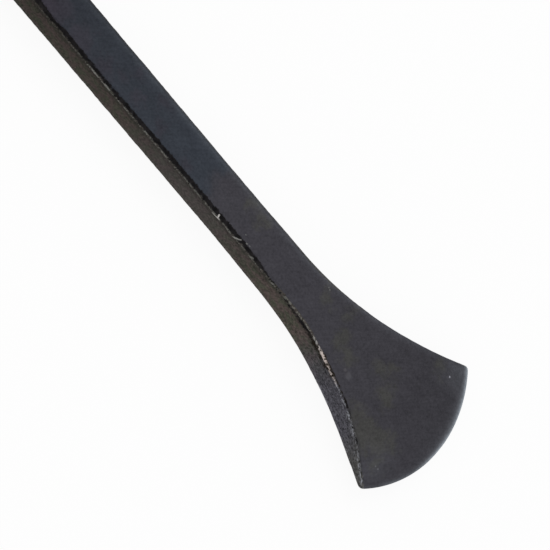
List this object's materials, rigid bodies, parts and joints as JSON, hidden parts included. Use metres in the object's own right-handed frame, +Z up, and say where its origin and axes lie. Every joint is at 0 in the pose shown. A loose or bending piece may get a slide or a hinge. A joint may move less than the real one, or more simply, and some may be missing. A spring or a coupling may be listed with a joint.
{
  "type": "cold chisel",
  "caption": "Forged cold chisel in one piece: a square bar with faceted corners, spread into a fan-shaped blade with a curved blunt edge, and a bevelled head to strike.",
  "frame": {"origin": "middle of the tool's length and width, on the underside of the bar that it rests on", "axes": "+X along the bar towards the cutting edge, +Y across the blade, +Z up out of the broad face"},
  "size_m": [0.225, 0.0492, 0.0127],
  "materials": {
    "blackened_tool_steel": "forged, hardened and oil-blackened: a dull blue-black oxide skin, browner along the bar's sides"
  },
  "bodies": {
    "root": {"forged_chisel": "blackened_tool_steel"}
  },
  "joints": []
}
